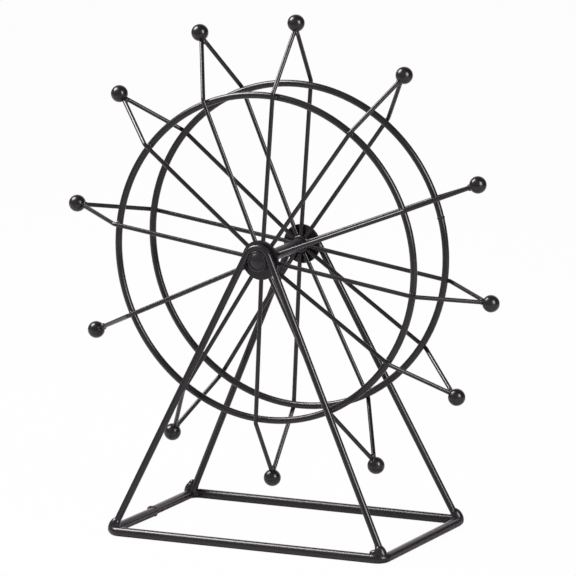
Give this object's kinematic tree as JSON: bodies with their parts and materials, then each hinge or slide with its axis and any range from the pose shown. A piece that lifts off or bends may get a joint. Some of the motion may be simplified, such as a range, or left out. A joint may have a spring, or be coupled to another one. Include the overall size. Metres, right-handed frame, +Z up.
{
  "type": "ferris wheel ornament",
  "caption": "Table-top Ferris wheel ornament of black coated iron wire, turning by hand on an axle between two A-frames.",
  "frame": {"origin": "on the table, midway between the four corners of the base", "axes": "+Z up, the axle along Y, the front of the wheel towards -Y"},
  "size_m": [0.2766, 0.1094, 0.3042],
  "materials": {
    "black_coating": "satin"
  },
  "bodies": {
    "stand": {"base_frame": "black_coating", "base_butt_weld": "black_coating", "front_a_frame": "black_coating", "rear_a_frame": "black_coating", "front_foot_welds": "black_coating", "rear_foot_welds": "black_coating", "axle": "black_coating", "front_end_cap": "black_coating", "rear_end_cap": "black_coating"},
    "wheel": {"hub_tube": "black_coating", "front_hub_disc": "black_coating", "rear_hub_disc": "black_coating", "front_hub_weld": "black_coating", "rear_hub_weld": "black_coating", "front_ring": "black_coating", "rear_ring": "black_coating", "front_spoke_01": "black_coating", "front_spoke_02": "black_coating", "front_spoke_03": "black_coating", "front_spoke_04": "black_coating", "front_spoke_05": "black_coating", "front_spoke_06": "black_coating", "front_spoke_07": "black_coating", "front_spoke_08": "black_coating", "front_spoke_09": "black_coating", "front_spoke_10": "black_coating", "front_spoke_11": "black_coating", "front_spoke_12": "black_coating", "rear_spoke_01": "black_coating", "rear_spoke_02": "black_coating", "rear_spoke_03": "black_coating", "rear_spoke_04": "black_coating", "rear_spoke_05": "black_coating", "rear_spoke_06": "black_coating", "rear_spoke_07": "black_coating", "rear_spoke_08": "black_coating", "rear_spoke_09": "black_coating", "rear_spoke_10": "black_coating", "rear_spoke_11": "black_coating", "rear_spoke_12": "black_coating", "ball_01": "black_coating", "ball_02": "black_coating", "ball_03": "black_coating", "ball_04": "black_coating", "ball_05": "black_coating", "ball_06": "black_coating", "ball_07": "black_coating", "ball_08": "black_coating", "ball_09": "black_coating", "ball_10": "black_coating", "ball_11": "black_coating", "ball_12": "black_coating"}
  },
  "joints": [
    {"name": "wheel_spin", "type": "hinge", "parent": "stand", "child": "wheel", "pos_m": [0, 0, 0.165], "axis": [0, 1, 0], "continuous": true}
  ]
}
